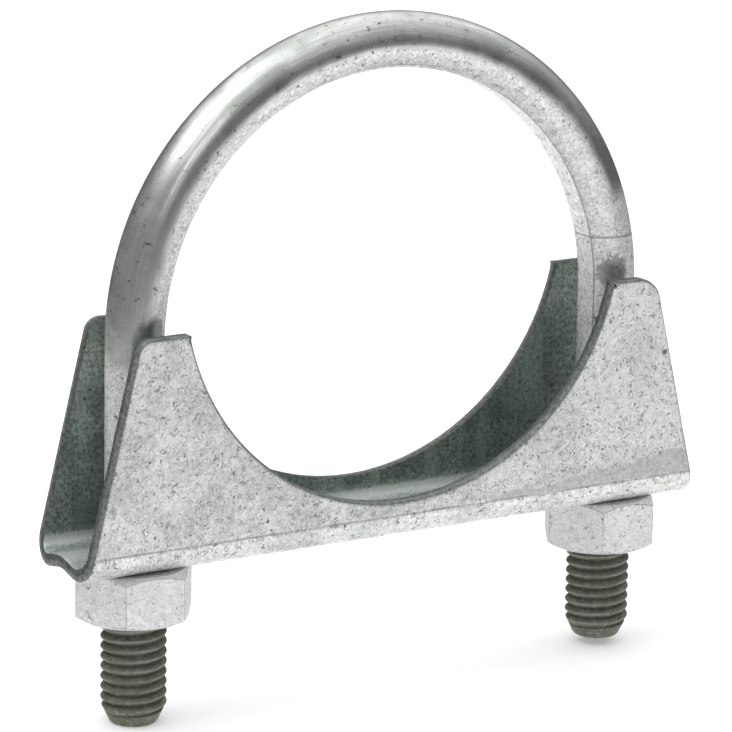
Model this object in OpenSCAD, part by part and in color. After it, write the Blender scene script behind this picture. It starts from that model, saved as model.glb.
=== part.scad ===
// U-bolt pipe clamp: a bent rod with a threaded leg at each end, a pressed
// saddle that slides on the legs, and two hexagon nuts that draw it up.
// The origin is the centre of the bend, on the axis of the pipe. +X is
// towards the right leg, +Y along the pipe away from the front flange, and
// +Z towards the crown of the bend. All sizes are in millimetres.

/* [Pipe] */
// Diameter of the pipe that the clamp is made for
pipe_d = 60; // [40:1:90]
// How far the saddle is drawn up past its place on a full-size pipe
closed_by = 8.1; // [4:0.1:12]

/* [U-bolt] */
// Diameter of the rod
rod_d = 7; // [5:0.1:8.4]
// Depth of the flat pressed along the inside of the bend
flat_depth = 0.45; // [0.2:0.05:0.9]
// How far that flat runs down each leg
flat_tail = 5; // [1:0.5:15]
// Outer diameter of the thread rolled on each leg
thread_d = 7.9; // [6.5:0.1:9.5]
// Length of the cone between the rod and the thread
thread_lead = 0.8; // [0.4:0.1:1.5]
// Thread left above the nut where the saddle stands
thread_above = 2.8; // [1:0.1:6]
// Leg left below the right nut when the clamp is closed on a full-size pipe
leg_spare = 4; // [2:0.1:15]
// How much longer the left leg is, as the rod was cropped
leg_uneven = 1; // [0:0.1:2]
// Diameter of the flat end of each leg
leg_end_d = 5.6; // [4:0.1:6.2]
// Length of the chamfer at that end
leg_chamfer = 2.4; // [1:0.1:4]

/* [Saddle] */
// Thickness of the sheet
sheet_t = 1.6; // [1:0.1:2.4]
// Gap between a leg's thread and the inside of each flange
leg_side_gap = 1.55; // [0.8:0.05:4]
// Outside radius of the bends between the web and the flanges
bend_r = 3.3; // [2.6:0.1:4]
// How far the middle of the web is pressed up between the bends
web_rise = 0.6; // [0.3:0.1:1]
// Width of the flat foot beside each bend, which a nut bears on
foot_w = 0.6; // [0.3:0.1:1]
// Height of the bottom of the cut-outs above the underside
seat_floor = 4.9; // [3.5:0.1:12]
// How far the horns stop short of the pipe's centre
horn_drop = 6.2; // [3:0.1:14]
// Length of the saddle past each leg, at its underside
end_margin = 9.8; // [7:0.1:20]
// Slope of the ends, as inset for each millimetre of height
end_slope = 0.242; // [0.1:0.005:0.3]
// Radius of the upper corner of the left horns
horn_r_left = 1.9; // [0.5:0.1:2.5]
// Radius of the upper corner of the right horns
horn_r_right = 3.2; // [0.5:0.1:3.5]
// Gap all round a leg's thread in its hole in the web
hole_gap = 0.55; // [0.3:0.05:1]

/* [Nuts] */
// Width of a nut across its flats
nut_af = 13; // [11.5:0.1:17]
// Height of a nut
nut_h = 6.5; // [4:0.1:10]
// Slope of the chamfer at each end of a nut, in degrees
nut_chamfer_angle = 30; // [15:1:40]
// Gap all round a leg's thread in a nut
nut_gap = 0.05; // [0.02:0.01:0.1]
// Depth of the countersink at each end of a nut's hole
nut_sink = 0.45; // [0.2:0.05:0.8]
// Gap between a nut and the saddle that it holds up
nut_seat_gap = 0.03; // [0.01:0.01:0.3]
// Turn of the left nut about its leg, in degrees
nut_left_turn = -4.5; // [-30:0.5:30]
// Turn of the right nut about its leg, in degrees
nut_right_turn = 0.5; // [-30:0.5:30]

/* [Hidden] */
$fn = 96;

// Play between parts of one shape that are cut or joined
over = 1;

// The bend and the legs
rod_r = rod_d / 2;
pipe_r = pipe_d / 2;
bend_centre_r = pipe_r + rod_r - flat_depth;
leg_x = bend_centre_r;

// The saddle, with its own heights counted from its underside
saddle_w = thread_d + 2 * leg_side_gap + 2 * sheet_t;
saddle_z = closed_by - pipe_r - seat_floor;
cut_z = seat_floor + pipe_r;
flange_h = cut_z - horn_drop;
base_x = leg_x + end_margin;
bend_y = saddle_w / 2 - bend_r;
hole_d = thread_d + 2 * hole_gap;

// The web's middle is an arc between two flat feet that the nuts bear on
crown_y = bend_y - foot_w;
crown_r = (crown_y * crown_y / web_rise + web_rise) / 2;

// The nuts, the threads and the ends of the legs
nut_top = saddle_z - nut_seat_gap;
nut_bottom = nut_top - nut_h;
thread_top = nut_top + thread_above;
leg_end_right = -(pipe_r + seat_floor + nut_h + leg_spare);
leg_end_left = leg_end_right - leg_uneven;
nut_corner_r = nut_af / sqrt(3);
nut_face_r = 0.477 * nut_af;
nut_bore_r = thread_d / 2 + nut_gap;
nut_chamfer_h = (nut_corner_r - nut_face_r) * tan(nut_chamfer_angle);

// Section of the rod where it is pressed flat, with the pipe towards -X
module flat_section() {
    difference() {
        circle(r = rod_r);
        translate([-rod_r - over, -rod_r])
            square([flat_depth + over, rod_d]);
    }
}

// One leg, hanging from the end of the bend, with the pipe towards -X
module leg(leg_end) {
    translate([0, 0, -flat_tail])
        linear_extrude(flat_tail)
            flat_section();
    translate([0, 0, thread_top])
        cylinder(h = -flat_tail - thread_top, r = rod_r);
    translate([0, 0, thread_top - thread_lead])
        cylinder(h = thread_lead, r1 = thread_d / 2, r2 = rod_r);
    translate([0, 0, leg_end + leg_chamfer])
        cylinder(h = thread_top - thread_lead - leg_end - leg_chamfer, d = thread_d);
    translate([0, 0, leg_end])
        cylinder(h = leg_chamfer, d1 = leg_end_d, d2 = thread_d);
}

module u_bolt() {
    color([0.76, 0.77, 0.76]) {
        rotate([90, 0, 0])
            rotate_extrude(angle = 180)
                translate([bend_centre_r, 0])
                    flat_section();
        translate([leg_x, 0, 0])
            leg(leg_end_right);
        mirror([1, 0, 0])
            translate([leg_x, 0, 0])
                leg(leg_end_left);
    }
}

// Outline of the channel's section, inset by a sheet's thickness for its
// inside: round bends, straight flanges, and a web with a pressed-up middle
module channel_outline(inset) {
    difference() {
        union() {
            translate([-saddle_w / 2 + inset, bend_r])
                square([saddle_w - 2 * inset, flange_h + over - bend_r + inset]);
            translate([-bend_y, inset])
                square([2 * bend_y, bend_r]);
            for (side = [-1, 1])
                translate([side * bend_y, bend_r])
                    circle(r = bend_r - inset);
        }
        translate([0, web_rise - crown_r])
            circle(r = crown_r + inset);
    }
}

// Corner piece that rounds one end of the flanges: side is -1 or 1
module flange_end(side, r) {
    slant = sqrt(1 + end_slope * end_slope);
    corner_x = base_x - end_slope * (flange_h - r) - r * slant;
    corner_z = flange_h - r;
    scale([side, 1]) {
        translate([corner_x, corner_z])
            circle(r = r);
        polygon([
            [0, 0], [base_x, 0],
            [corner_x + r / slant, corner_z + r * end_slope / slant],
            [corner_x, corner_z], [corner_x, flange_h], [0, flange_h]
        ]);
    }
}

// Outline of the flanges seen along the pipe, with the pipe cut out
module flange_outline() {
    difference() {
        union() {
            flange_end(-1, horn_r_left);
            flange_end(1, horn_r_right);
        }
        translate([0, cut_z])
            circle(r = pipe_r);
    }
}

module saddle() {
    color([0.80, 0.81, 0.80])
        translate([0, 0, saddle_z])
            difference() {
                intersection() {
                    translate([-base_x - over, 0, 0])
                        rotate([90, 0, 90])
                            linear_extrude(2 * (base_x + over))
                                difference() {
                                    channel_outline(0);
                                    channel_outline(sheet_t);
                                }
                    translate([0, saddle_w / 2 + over, 0])
                        rotate([90, 0, 0])
                            linear_extrude(saddle_w + 2 * over)
                                flange_outline();
                }
                for (side = [-1, 1])
                    translate([side * leg_x, 0, -over])
                        cylinder(h = bend_r + 2 * over, d = hole_d);
            }
}

// A hexagon nut with its underside at z = 0
module nut() {
    difference() {
        intersection() {
            cylinder(h = nut_h, r = nut_corner_r, $fn = 6);
            rotate_extrude()
                polygon([
                    [0, 0], [nut_face_r, 0],
                    [nut_corner_r, nut_chamfer_h], [nut_corner_r, nut_h - nut_chamfer_h],
                    [nut_face_r, nut_h], [0, nut_h]
                ]);
        }
        translate([0, 0, -over])
            cylinder(h = nut_h + 2 * over, r = nut_bore_r);
        rotate_extrude()
            polygon([[0, 0], [nut_bore_r + nut_sink, 0], [0, nut_bore_r + nut_sink]]);
        rotate_extrude()
            polygon([
                [0, nut_h], [nut_bore_r + nut_sink, nut_h],
                [0, nut_h - nut_bore_r - nut_sink]
            ]);
    }
}

module nut_left() {
    color([0.83, 0.84, 0.84])
        translate([-leg_x, 0, nut_bottom])
            rotate([0, 0, nut_left_turn])
                nut();
}

module nut_right() {
    color([0.83, 0.84, 0.84])
        translate([leg_x, 0, nut_bottom])
            rotate([0, 0, nut_right_turn])
                nut();
}

u_bolt();
saddle();
nut_left();
nut_right();
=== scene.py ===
# %% [markdown]
# # A zinc-plated U-bolt clamp
# A clamp for a 60 mm pipe has four pieces: a rod bent to a U with a thread rolled on each
# leg, a saddle pressed from sheet, and two hexagon nuts. The CAD frame says where each piece
# is and how it moves. This lesson makes the finished surfaces around that frame: true
# threads, edges rolled by the press tool, and zinc plate with its grain.

from math import atan2, cos, pi, radians, sin, sqrt, tan
from types import SimpleNamespace

import bmesh
import bpy
from mathutils import Matrix, Vector


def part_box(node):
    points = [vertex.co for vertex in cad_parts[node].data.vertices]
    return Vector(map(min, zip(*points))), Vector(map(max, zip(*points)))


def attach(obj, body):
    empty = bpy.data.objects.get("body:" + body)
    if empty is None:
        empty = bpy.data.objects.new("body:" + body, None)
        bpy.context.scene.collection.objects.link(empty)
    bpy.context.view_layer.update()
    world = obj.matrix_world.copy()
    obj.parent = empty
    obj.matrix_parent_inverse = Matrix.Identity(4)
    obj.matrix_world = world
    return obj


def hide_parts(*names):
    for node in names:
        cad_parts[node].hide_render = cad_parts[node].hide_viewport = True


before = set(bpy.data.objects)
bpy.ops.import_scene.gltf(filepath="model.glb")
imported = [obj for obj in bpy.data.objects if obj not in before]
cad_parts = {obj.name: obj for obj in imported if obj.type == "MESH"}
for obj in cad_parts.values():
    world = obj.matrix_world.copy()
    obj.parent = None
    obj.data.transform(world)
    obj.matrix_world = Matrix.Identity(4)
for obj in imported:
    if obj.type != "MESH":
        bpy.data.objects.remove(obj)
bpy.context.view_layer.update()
scene = bpy.context.scene

# %% [markdown]
# ## Sizes
# Places come from the boxes of the CAD nodes, so that every new piece lands where the frame
# has it. Sizes that a box can't tell, such as a radius or a pitch, are named here once, in
# metres, as the maker's drawing has them.

# %% Sizes from the frame
MM = 0.001
bolt_low, bolt_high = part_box("u_bolt")
saddle_low, saddle_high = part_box("saddle")
nut_low, nut_high = (corner.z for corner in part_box("nut_left"))

rod_r = 3.5 * MM
bend_r = bolt_high.z - rod_r
leg_uneven = 1.0 * MM
leg_ends = {"left": bolt_low.z, "right": bolt_low.z + leg_uneven}
print("leg spacing in mm:", round(2000 * bend_r, 2), "nut height:", round((nut_high - nut_low) / MM, 2))

# %% Sizes from the drawing
pipe_r = 30 * MM
flat_depth = 0.45 * MM
flat_end = -5 * MM
pitch = 1.25 * MM
crest_r = 3.95 * MM
root_r = 3.18 * MM
thread_top = nut_high + 2.8 * MM
leg_end_r = 2.8 * MM
leg_chamfer = 2.4 * MM
print("thread starts at", round(thread_top / MM, 2), "mm, depth", round((crest_r - root_r) / MM, 2), "mm")

# %% [markdown]
# ## Camera
# A long lens stands half a metre off, to the front left of the clamp and a little above it,
# as in a catalogue picture. A short lens close by would make the near nut look much bigger
# than the far one, so the lens is long, and both ends of the saddle keep nearly one size. The
# two small shifts centre the clamp in the picture, and the roll is that of a hand-set tripod.

# %% Camera
yaw, tilt, roll = radians(31.11), radians(14.37), radians(0.98)
distance, shift_left, shift_down = 520.7 * MM, 1.30 * MM, 6.55 * MM
ahead = Vector((sin(yaw) * cos(tilt), cos(yaw) * cos(tilt), -sin(tilt)))
right = Vector((cos(yaw), -sin(yaw), 0))
up = right.cross(ahead)
eye = -ahead * distance - right * shift_left - up * shift_down
picture_right = right * cos(roll) + up * sin(roll)
picture_up = up * cos(roll) - right * sin(roll)

lens = bpy.data.cameras.new("catalogue_lens")
lens.sensor_width = 36
lens.lens = 212.9
lens.clip_start, lens.clip_end = 0.01, 20
camera = bpy.data.objects.new("camera", lens)
aim = Matrix((picture_right, picture_up, -ahead)).transposed()
camera.matrix_world = Matrix.Translation(eye) @ aim.to_4x4()
scene.collection.objects.link(camera)
scene.camera = camera
print("camera at", [round(v, 3) for v in eye])

# %% [markdown]
# ## Node helpers
# Hex colours are as the eye sees them on a screen, and the shader needs them linear. One
# function adds any node, with its settings and its links, so that each material reads as a
# short recipe.

# %% Colour and node helpers
def linear(hexadecimal):
    """An sRGB hex colour as a linear RGBA value."""
    shares = [int(hexadecimal[i:i + 2], 16) / 255 for i in (1, 3, 5)]
    return tuple(c / 12.92 if c <= 0.04045 else ((c + 0.055) / 1.055) ** 2.4 for c in shares) + (1,)


def add(tree, kind, inputs=None, output=0, **settings):
    """Adds a node, sets it, gives its inputs a value or a link, and returns one output."""
    node = tree.nodes.new("ShaderNode" + kind)
    for key, value in settings.items():
        setattr(node, key, value)
    for key, value in (inputs or {}).items():
        if isinstance(value, bpy.types.NodeSocket):
            tree.links.new(value, node.inputs[key])
        else:
            node.inputs[key].default_value = value
    return node.outputs[output]


def per(size_mm):
    """The texture scale at which one feature is about size_mm across."""
    return 1 / (size_mm * MM)


# Settings of a Map Range node with soft ends, and of a Mix node that mixes colours
soft = {"interpolation_type": "SMOOTHSTEP"}
paint = {"data_type": "RGBA"}
print("middle gray as light:", round(linear("#808080")[0], 3), "scale of 1 mm grain:", round(per(1)))

# %% [markdown]
# ## Studio
# Bare metal shows little but its surroundings. Here they are a wide light overhead, a pale
# table below, and a darker room in between at eye height, which puts the long dark stripe
# along the rod. Cards and curtains around the clamp could do it, but they would stand in the
# way of another view. So the surroundings are one sky of light, shaped by height. The camera
# itself sees a white backdrop.

# %% Surroundings
def gray(level):
    """A neutral light of that level."""
    return (level, level, level, 1)


world = bpy.data.worlds.new("soft_studio")
scene.world = world
world.use_nodes = True
sky = world.node_tree
sky.nodes.clear()
heading = add(sky, "TexCoord", output="Generated")
split = add(sky, "SeparateXYZ", {0: heading}).node.outputs
# The ceiling is darker behind the camera's right shoulder, and the walls are darker on the right
near_right = add(sky, "VectorMath", {0: heading, 1: (0.62, -0.75, 0.2)}, "Value", operation="DOT_PRODUCT")
shade = add(sky, "MapRange", {"Value": near_right, "From Min": 0.25, "From Max": 0.95}, **soft)
ceiling = add(sky, "Mix", {0: shade, 6: gray(1.3), 7: gray(0.55)}, 2, **paint)
to_right = add(sky, "MapRange", {"Value": split["X"], "From Min": -0.7, "From Max": 0.2}, **soft)
walls = add(sky, "Mix", {0: to_right, 6: gray(0.2), 7: gray(0.11)}, 2, **paint)
leaning = add(sky, "Math", {0: split["X"], 1: 0.2, 2: split["Z"]}, operation="MULTIPLY_ADD")
height = add(sky, "MapRange", {"Value": leaning, "From Min": 0.26, "From Max": 0.7}, **soft)
room = add(sky, "Mix", {0: height, 6: walls, 7: ceiling}, 2, **paint)
# Below, the table is brightest on the right, and the clamp shades the part right under it
to_right = add(sky, "MapRange", {"Value": split["X"], "From Min": -0.8, "From Max": 0.1}, **soft)
table = add(sky, "Mix", {0: to_right, 6: gray(1.1), 7: gray(1.75)}, 2, **paint)
under = add(sky, "MapRange", {"Value": split["Z"], "From Min": -0.5, "From Max": -0.85}, **soft)
table = add(sky, "Mix", {0: under, 6: table, 7: gray(0.95)}, 2, **paint)
depth = add(sky, "MapRange", {"Value": split["Z"], "From Min": -0.14, "From Max": -0.46}, **soft)
room = add(sky, "Mix", {0: depth, 6: room, 7: table}, 2, **paint)
lighting = add(sky, "Background", {"Color": room})
backdrop = add(sky, "Background", {"Color": gray(1)})
seen = add(sky, "LightPath", output="Is Camera Ray")
both = add(sky, "MixShader", {0: seen, 1: lighting, 2: backdrop})
sky_output = sky.nodes.new("ShaderNodeOutputWorld")
sky.links.new(both, sky_output.inputs["Surface"])
print("sky nodes:", len(sky.nodes))

# %% [markdown]
# ## Lights and table
# The soft boxes add the shaped highlights: one high on the left, and a small one beside the
# camera. The table is plain white laminate, which gives the eye an even sheet with no gloss,
# and it glows a little so that the contact shadow stays faint. Its mirror image in the metal
# is left to the sky of light, so that the table's own edge never shows.

# %% Lights and table
def soft_box(name, direction, distance, size, power):
    """A square light that faces the clamp from that direction."""
    data = bpy.data.lights.new(name, "AREA")
    data.size = size
    data.energy = power
    light = bpy.data.objects.new(name, data)
    place = Vector(direction).normalized() * distance
    light.matrix_world = Matrix.Translation(place) @ place.to_track_quat("Z", "Y").to_matrix().to_4x4()
    scene.collection.objects.link(light)
    return light


soft_box("key_soft_box", (-0.45, 0.05, 0.9), 0.9, 0.8, 2.2)
soft_box("camera_side_box", (-0.30, -0.80, 0.42), 1.1, 0.35, 0.5)

floor_bm = bmesh.new()
bmesh.ops.create_grid(floor_bm, x_segments=1, y_segments=1, size=3,
                      matrix=Matrix.Translation((0, 0, bolt_low.z)))
floor_mesh = bpy.data.meshes.new("table")
floor_bm.to_mesh(floor_mesh)
floor_bm.free()
floor = bpy.data.objects.new("table", floor_mesh)
scene.collection.objects.link(floor)
floor.visible_glossy = False
laminate = bpy.data.materials.new("white_table_laminate")
laminate.use_nodes = True
looks = {"Base Color": linear("#FBFBFB"), "Roughness": 0.9, "Emission Color": gray(1),
         "Emission Strength": 0.25}
for key, value in looks.items():
    laminate.node_tree.nodes["Principled BSDF"].inputs[key].default_value = value
floor_mesh.materials.append(laminate)
scene.view_settings.view_transform = "Standard"
print("table at", round(bolt_low.z / MM, 2), "mm, lights:", len(bpy.data.lights))

# %% [markdown]
# ## Mesh helpers
# Every piece is built as a bmesh and then becomes an object at the origin, with its place in
# its mesh. Doubled points are merged first, because only a closed skin can have its faces
# turned outwards. The weighted-normal modifier keeps broad faces flat in the light and lets
# only the narrow rounded edges turn it.

# %% Finish a piece
merge_distance = 0.002 * MM


def finish_piece(bm, name, material, body, node):
    """Turns a bmesh into a finished piece that rides on a body and stands for a CAD node."""
    bmesh.ops.remove_doubles(bm, verts=bm.verts, dist=merge_distance)
    bmesh.ops.dissolve_degenerate(bm, edges=bm.edges, dist=merge_distance)
    bmesh.ops.recalc_face_normals(bm, faces=bm.faces)
    open_edges = sum(1 for e in bm.edges if len(e.link_faces) != 2)
    for face in bm.faces:
        face.smooth = True
    volume = bm.calc_volume(signed=True)
    if volume < 0:
        bmesh.ops.reverse_faces(bm, faces=bm.faces)
    mesh = bpy.data.meshes.new(name)
    bm.to_mesh(mesh)
    bm.free()
    mesh.materials.append(material)
    piece = bpy.data.objects.new(name, mesh)
    scene.collection.objects.link(piece)
    weighted = piece.modifiers.new("broad_faces_stay_flat", "WEIGHTED_NORMAL")
    weighted.keep_sharp = True
    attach(piece, body)
    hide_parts(node)
    print(f"{name}: {len(mesh.polygons)} faces, {open_edges} open edges, {abs(volume) / MM ** 3:.0f} mm3")


print("points closer than", merge_distance / MM, "mm are merged")


# %% [markdown]
# Metal has no sharp edges: each one is a narrow bevel. Its middle row of points is marked in
# a layer of the mesh, so that the finish can darken or brighten just that line. A layer goes
# with the points wherever they move, which a pattern in space would not.

# %% Edges, rims and soft steps
def soften(bm, edges, width, layer):
    """Bevels edges, and marks the middle of each bevel in a vertex layer."""
    made = bmesh.ops.bevel(bm, geom=edges, offset=width, segments=2, profile=0.5,
                           affect="EDGES", material=-1)
    fresh = set(made["faces"])
    for vert in made["verts"]:
        if all(face in fresh for face in vert.link_faces):
            vert[layer] = 1


def rim(bm, height):
    """The open edges that lie at one height."""
    near = 0.001 * MM
    return [e for e in bm.edges if len(e.link_faces) < 2
            and all(abs(v.co.z - height) < near for v in e.verts)]


def smooth(value):
    """A step from 0 to 1 with soft ends."""
    value = min(max(value, 0), 1)
    return value * value * (3 - 2 * value)


print("a quarter of the way is", smooth(0.25), "of a soft step")

# %% [markdown]
# ## Rolled thread
# An M8 thread climbs 1.25 mm a turn, to the right. A spin that also climbs makes exactly
# that: a column of points goes once round the leg and arrives one pitch higher, where it
# meets its own start. Then each point moves out to the thread's radius, which depends only
# on how far up the ramp it is. Rolling squeezes the metal up between the ridges of the die,
# so crests and roots are rounded.

# %% Thread profile
rows_per_pitch = 16
thread_steps = 64
# Each leg's thread starts at its own angle, in turns
phase = {"left": 0.53, "right": -0.34}


def ridge(angle, z, side):
    """Height of the thread at a point: 0 in the root and 1 on the crest."""
    turns = (z / pitch - angle / (2 * pi) + phase[side]) % 1
    return 1 - (abs(turns - 0.5) * 2) ** 1.9


print("crest share at the front of the left leg, at the nut:", round(ridge(-pi / 2, nut_low, "left"), 2))


# %% Tube with a thread
def thread_tube(place, low, high, side, radius_of):
    """An open helical tube about a leg, cut level at both ends."""
    bm = bmesh.new()
    crest = bm.verts.layers.float.new("crest")
    thread = bm.verts.layers.float.new("thread")
    step = pitch / rows_per_pitch
    # The eighth of a row keeps the points of the tube off the planes that cut it
    point = bm.verts.new((place.x + crest_r, place.y, low - 1.5 * pitch - step / 8))
    column = [point]
    for _ in range(int((high - low + 3 * pitch) / step)):
        point = bmesh.ops.extrude_vert_indiv(bm, verts=[point])["verts"][0]
        point.co.z += step
        column.append(point)
    bmesh.ops.spin(bm, geom=column + list(bm.edges), cent=place, axis=(0, 0, 1), angle=2 * pi,
                   dvec=(0, 0, pitch / thread_steps), steps=thread_steps, use_merge=False)
    bmesh.ops.remove_doubles(bm, verts=bm.verts, dist=merge_distance / 2)
    for height, outward in ((low, -1), (high, 1)):
        bmesh.ops.bisect_plane(bm, geom=bm.verts[:] + bm.edges[:] + bm.faces[:], dist=1e-8,
                               plane_co=(0, 0, height), plane_no=(0, 0, outward), clear_outer=True)
    for vert in bm.verts:
        dx, dy = vert.co.x - place.x, vert.co.y - place.y
        angle = atan2(dy, dx)
        radius, vert[crest] = radius_of(angle, vert.co.z, side)
        vert[thread] = 1
        vert.co.x = place.x + radius * cos(angle)
        vert.co.y = place.y + radius * sin(angle)
    return bm


def join(bm, other):
    """Adds the other bmesh to bm."""
    mesh = bpy.data.meshes.new("part")
    other.to_mesh(mesh)
    other.free()
    bm.from_mesh(mesh)
    bpy.data.meshes.remove(mesh)


print("points round a thread:", thread_steps, "and up one pitch:", rows_per_pitch)

# %% [markdown]
# ## Both ends of the thread
# The thread fades into the plain rod at its top, where the rollers let go. At its end the
# leg was chamfered before rolling, so the ridges sink into the cone, and the cropped end
# has a slightly soft rim.

# %% Thread on a leg
run_out = 1.6 * pitch
rim_height = 0.35 * MM
rim_inset = 0.22 * MM


def leg_surface(angle, z, side):
    """Radius and crest share of a leg at a point."""
    height = ridge(angle, z, side)
    leg_end = leg_ends[side]
    up_share = smooth((thread_top - z) / run_out)
    down_share = smooth((z - leg_end - 0.7 * MM) / (1.5 * MM))
    root = root_r + (rod_r - 0.05 * MM - root_r) * (1 - down_share)
    radius = rod_r + (root + (crest_r - root) * height - rod_r) * up_share
    cone = leg_end_r + (z - leg_end) / leg_chamfer * (crest_r - leg_end_r)
    if z < leg_end + rim_height:
        cone -= rim_inset * (1 - sqrt(max(0, 1 - (1 - (z - leg_end) / rim_height) ** 2)))
    return min(radius, cone), height * up_share * down_share


print("radius at the right leg's end in mm:", round(leg_surface(0, leg_ends["right"], "right")[0] / MM, 2))

# %% [markdown]
# ## Rod
# The section is a circle, pressed flat where it lies against the pipe. A curve with a bevel
# profile could follow the U, but it couldn't let the flat fade out. So a spin carries the
# section round the bend, and extrusions carry it down each leg, ring by ring. The two edges of
# the flat get a narrow bevel, because a press leaves them soft.

# %% U-bolt
leg_rings = [depth * MM for depth in (-1.6, -3.2, -5, -6, -7, -8, -9, -14, -20)]
flat_fade = 4 * MM
collar_z = thread_top + 0.5 * MM


def build_bolt():
    """The bent rod with both its threads, as one closed skin."""
    bm = bmesh.new()
    crest = bm.verts.layers.float.new("crest")
    thread = bm.verts.layers.float.new("thread")
    edge = bm.verts.layers.float.new("edge")
    section = bmesh.ops.create_circle(bm, segments=72, radius=rod_r)["verts"]
    for vert in section:
        vert.co.x = max(vert.co.x, flat_depth - rod_r)
    bmesh.ops.translate(bm, verts=section, vec=(bend_r, 0, 0))
    start = list(bm.edges)
    turned = bmesh.ops.spin(bm, geom=section + start, cent=(0, 0, 0), axis=(0, -1, 0),
                            angle=pi, steps=128, use_merge=False)
    finish = [g for g in turned["geom_last"] if isinstance(g, bmesh.types.BMEdge)]
    for side, ring in ((1, start), (-1, finish)):
        level = 0
        for depth in leg_rings:
            made = bmesh.ops.extrude_edge_only(bm, edges=ring)["geom"]
            ring = [g for g in made if isinstance(g, bmesh.types.BMEdge)]
            verts = [g for g in made if isinstance(g, bmesh.types.BMVert)]
            bmesh.ops.translate(bm, verts=verts, vec=(0, 0, depth - level))
            level = depth
            share = smooth((flat_end - level) / flat_fade)
            for vert in verts:
                flat_x = side * vert.co.x - bend_r
                full = sqrt(max(rod_r ** 2 - vert.co.y ** 2, 0)) * (1 if flat_x > 0 else -1)
                if abs(flat_x) < abs(full):
                    vert.co.x = side * (bend_r + flat_x + (full - flat_x) * share)
    ridges = [e for e in bm.edges if len(e.link_faces) == 2 and e.calc_face_angle() > radians(16)]
    soften(bm, ridges, 0.16 * MM, edge)
    for side, sign in (("left", -1), ("right", 1)):
        place = Vector((sign * bend_r, 0, 0))
        join(bm, thread_tube(place, leg_ends[side], collar_z, side, leg_surface))
        collar = [e for height in (leg_rings[-1], collar_z) for e in rim(bm, height)
                  if e.verts[0].co.x * sign > 0]
        bmesh.ops.bridge_loops(bm, edges=collar)
        end = [e for e in rim(bm, leg_ends[side]) if e.verts[0].co.x * sign > 0]
        bmesh.ops.edgeloop_fill(bm, edges=end)
    return bm


bolt_bm = build_bolt()
print("points in the rod:", len(bolt_bm.verts))

# %% [markdown]
# ## Marks on the rod
# The finish needs to know where on the rod it is: how far along it, how far out from its
# centre line, and whether the tools pressed there. Straight coordinates can't tell that on a
# bent rod, so three layers do, and they read as if the rod were straight again.

# %% Layers on the rod
clamped_from, clamped_over = 17 * MM, 9 * MM
left_leg_from, left_leg_over = pi * bend_r - 1 * MM, 6 * MM
right_arc, arc_fade = 50 * MM, 35 * MM


def mark_rod(bm):
    """Fills the layers that the rod's finish reads."""
    pressed = bm.verts.layers.float.new("pressed")
    along = bm.verts.layers.float.new("along")
    out = bm.verts.layers.float.new("out")
    for vert in bm.verts:
        x, y, z = vert.co
        radius = sqrt(x * x + z * z) if z > 0 else abs(x)
        vert[out] = radius - bend_r
        vert[along] = atan2(z, x) * bend_r if z > 0 else (z if x > 0 else pi * bend_r - z)
        right_leg = smooth((clamped_from - vert[along]) / clamped_over)
        left_leg = smooth((vert[along] - left_leg_from) / left_leg_over)
        # Where the pressed side ends, as a share of the rod's radius
        reach = 0.3 + 0.3 * smooth((right_arc - vert[along]) / arc_fade)
        inner_side = smooth((reach * rod_r - vert[out]) / (0.9 * rod_r))
        vert[pressed] = max(inner_side, right_leg, left_leg)


mark_rod(bolt_bm)
print("length of the bend in mm:", round(pi * bend_r / MM, 1))

# %% [markdown]
# ## Saddle
# The saddle starts as a flat blank and is pressed to a channel. A channel could be extruded
# and then cut, but its rims would be hard to roll where they cross the bends. So the mesh is
# made the way the real one is. The blank is a plate in x and s, where s is the distance
# across the sheet from the middle of the web. Planes trim it, cylinders punch it, a bevel
# rolls its rims as a die does, and last each point moves to its place on the channel.

# %% Sizes of the blank
sheet = 1.6 * MM
saddle_base = saddle_high.x
saddle_half = saddle_high.y
flange_h = saddle_high.z - saddle_low.z
corner_r = 3.3 * MM
foot_y = saddle_half - corner_r
web_rise = 0.6 * MM
end_slope = 0.242
cut_height = 34.9 * MM
hole_r = 4.5 * MM
left_horn_r, right_horn_r, inner_horn_r = 1.9 * MM, 3.2 * MM, 0.55 * MM
bend_length = corner_r * pi / 2
flange_start = foot_y + bend_length
blank_top = flange_start + flange_h - corner_r
print("blank in mm:", round(2 * saddle_base / MM, 1), "by", round(2 * blank_top / MM, 1))

# %% [markdown]
# ## From blank to channel
# Bending keeps lengths, so the distance across the blank becomes the distance along the
# channel's section: first over the web, which is pressed up in its middle, then round the
# bend, and then straight up the flange. Depth in the sheet stays square to the section.

# %% Section of the channel
def channel_point(x, s, depth):
    """Where a point of the blank lies on the finished channel: depth is from the outer face."""
    side = 1 if s > 0 else -1
    reach = abs(s)
    if reach < foot_y:
        wave = pi * reach / foot_y
        y, z = reach, web_rise * (1 + cos(wave)) / 2
        lean = web_rise * sin(wave) * pi / (2 * foot_y)
        across, rise = lean / sqrt(1 + lean * lean), 1 / sqrt(1 + lean * lean)
    elif reach < flange_start:
        turn_angle = (reach - foot_y) / corner_r
        y, z = foot_y + corner_r * sin(turn_angle), corner_r * (1 - cos(turn_angle))
        across, rise = -sin(turn_angle), cos(turn_angle)
    else:
        y, z = saddle_half, corner_r + reach - flange_start
        across, rise = -1, 0
    return Vector((x, side * (y + across * depth), saddle_low.z + z + rise * depth))


print("the blank's edge ends at", [round(v / MM, 2) for v in channel_point(0, blank_top, 0)])

# %% [markdown]
# ## Punches
# A press cuts round holes with a punch, and a boolean cut does the same. It works here
# because blank and punches are closed solids that cross each other cleanly, far from any
# shared face. Bevels come after it, since a cut through a finished bevel leaves splinters.

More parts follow.
